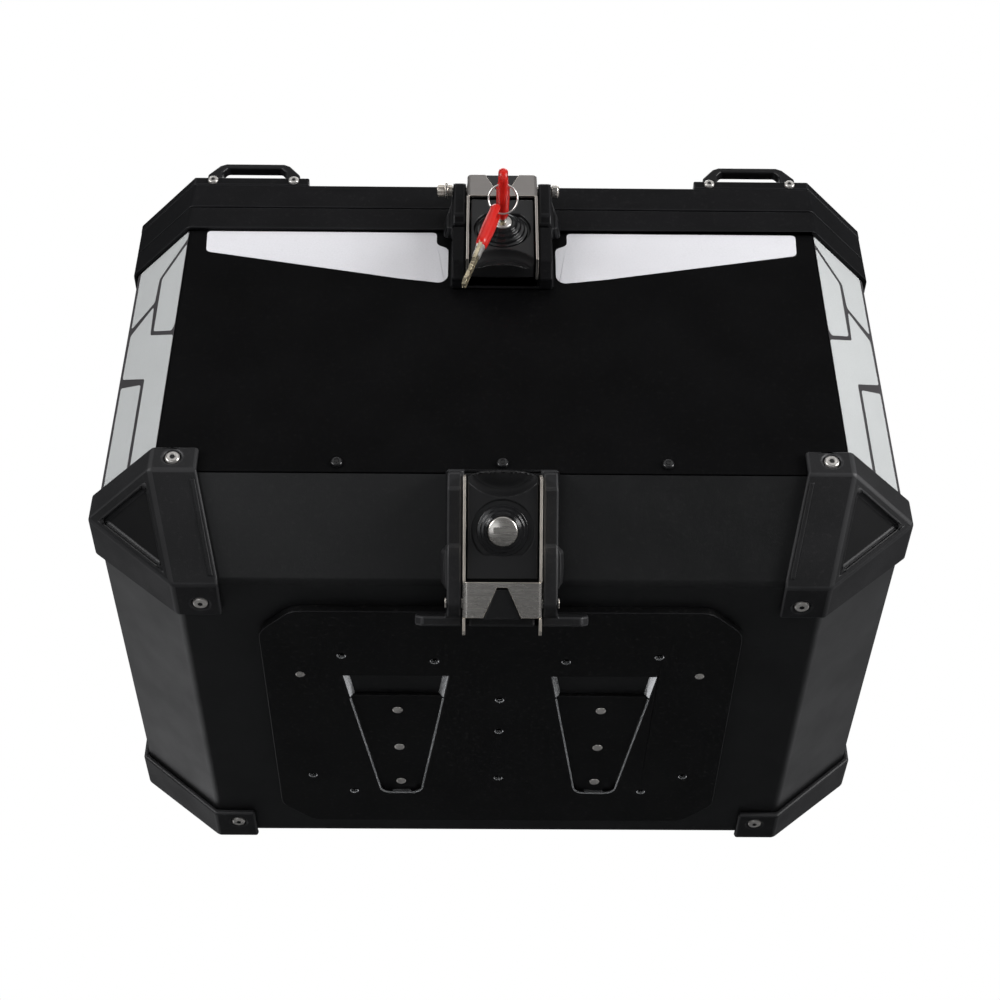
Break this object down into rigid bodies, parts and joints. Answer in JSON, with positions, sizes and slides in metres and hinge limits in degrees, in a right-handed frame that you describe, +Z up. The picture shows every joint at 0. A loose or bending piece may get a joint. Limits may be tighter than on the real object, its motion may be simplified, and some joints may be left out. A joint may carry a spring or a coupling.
{
  "type": "motorcycle top case",
  "caption": "Hard motorcycle luggage case with a hinged lid, keyed over-centre latches, corner protectors and a quick-release plate that rests on a rear rack.",
  "frame": {"origin": "centre of the underside of the mounting plate, where the case rests on the rack", "axes": "+Z up, -Y the front with the latches, +X to the right when the latches are looked at"},
  "size_m": [0.478, 0.4392, 0.3468],
  "materials": {
    "black_powder_coat": "textured satin black powder coat",
    "black_plastic": "fine-grained matte black moulding",
    "black_gloss": "smooth semi-gloss black",
    "stainless_steel": "brushed, bright edges",
    "nickel_plate": "bright plated",
    "red_plastic": "glossy red moulding",
    "seal_rubber": "soft matte black",
    "white_film": "white reflective film",
    "grey_film": "silver-grey reflective film with a dark line pattern"
  },
  "bodies": {
    "case": {"body_rim": "black_plastic", "body_wrap": "black_powder_coat", "bottom_tray": "black_powder_coat", "corner_protector_front_left": "black_plastic", "corner_protector_front_right": "black_plastic", "corner_protector_rear_left": "black_plastic", "corner_protector_rear_right": "black_plastic", "hinge_body_leaf_left": "black_powder_coat", "hinge_body_leaf_right": "black_powder_coat", "hinge_pin_left": "stainless_steel", "hinge_pin_right": "stainless_steel", "lower_latch_base": "black_gloss", "lower_latch_pin": "stainless_steel", "mounting_plate": "black_powder_coat", "pocket_pad_left": "black_powder_coat", "pocket_pad_right": "black_powder_coat", "protector_screw_front_left_lower": "nickel_plate", "protector_screw_front_left_upper": "nickel_plate", "protector_screw_front_right_lower": "nickel_plate", "protector_screw_front_right_upper": "nickel_plate", "protector_screw_rear_left_lower": "nickel_plate", "protector_screw_rear_left_upper": "nickel_plate", "protector_screw_rear_right_lower": "nickel_plate", "protector_screw_rear_right_upper": "nickel_plate", "seam_screw_1": "black_gloss", "seam_screw_2": "black_gloss", "seam_screw_3": "black_gloss", "upper_latch_base": "black_gloss"},
    "lid": {"lid_shell": "black_powder_coat", "lid_band": "black_plastic", "lid_seal": "seal_rubber", "latch_hinge_bracket": "black_plastic", "upper_latch_pin": "stainless_steel", "latch_pin_clip": "stainless_steel", "hinge_lid_leaf_left": "black_powder_coat", "hinge_lid_leaf_right": "black_powder_coat", "lid_corner_front_left": "black_plastic", "lid_corner_front_right": "black_plastic", "lid_corner_rear_left": "black_plastic", "lid_corner_rear_right": "black_plastic", "tie_down_handle_front_left": "black_powder_coat", "tie_down_handle_front_right": "black_powder_coat", "tie_down_handle_rear_left": "black_powder_coat", "tie_down_handle_rear_right": "black_powder_coat"},
    "upper_latch": {"upper_latch_bail": "stainless_steel", "upper_latch_lever": "black_gloss", "upper_lock_collar": "black_gloss"},
    "upper_lock": {"upper_lock_cylinder": "nickel_plate", "upper_lock_cam": "stainless_steel", "key_in_lock": "nickel_plate", "key_in_lock_grip": "red_plastic"},
    "key_ring": {"key_ring": "nickel_plate"},
    "second_key": {"second_key": "nickel_plate", "second_key_grip": "red_plastic"},
    "lower_latch": {"lower_latch_bail": "stainless_steel", "lower_latch_lever": "black_gloss", "lower_lock_collar": "black_gloss"},
    "lower_lock": {"lower_lock_cylinder": "nickel_plate", "lower_lock_cam": "stainless_steel"}
  },
  "joints": [
    {"name": "lid_hinge", "type": "hinge", "parent": "case", "child": "lid", "pos_m": [0, 0.188, 0.2718], "axis": [-1, 0, 0], "range_deg": [0, 95]},
    {"name": "upper_latch_swing", "type": "hinge", "parent": "lid", "child": "upper_latch", "pos_m": [0, -0.196, 0.2726], "axis": [-1, 0, 0], "range_deg": [0, 95]},
    {"name": "upper_lock_turn", "type": "hinge", "parent": "upper_latch", "child": "upper_lock", "pos_m": [0, -0.207, 0.2316], "axis": [0, -1, 0], "range_deg": [0, 90]},
    {"name": "key_ring_swing", "type": "hinge", "parent": "upper_lock", "child": "key_ring", "pos_m": [0, -0.236, 0.2316], "axis": [-1, 0, 0], "range_deg": [0, 60]},
    {"name": "second_key_swing", "type": "hinge", "parent": "key_ring", "child": "second_key", "pos_m": [-0.0044, -0.22361, 0.22083], "axis": [-0.866, -0.3774, 0.328], "range_deg": [-10, 10]},
    {"name": "lower_latch_swing", "type": "hinge", "parent": "case", "child": "lower_latch", "pos_m": [0, -0.14082, -0.01323], "axis": [1, 0, 0], "range_deg": [0, 80]},
    {"name": "lower_lock_turn", "type": "hinge", "parent": "lower_latch", "child": "lower_lock", "pos_m": [0, -0.17759, 0.00799], "axis": [0, -0.7071, -0.7071], "range_deg": [0, 90]}
  ]
}
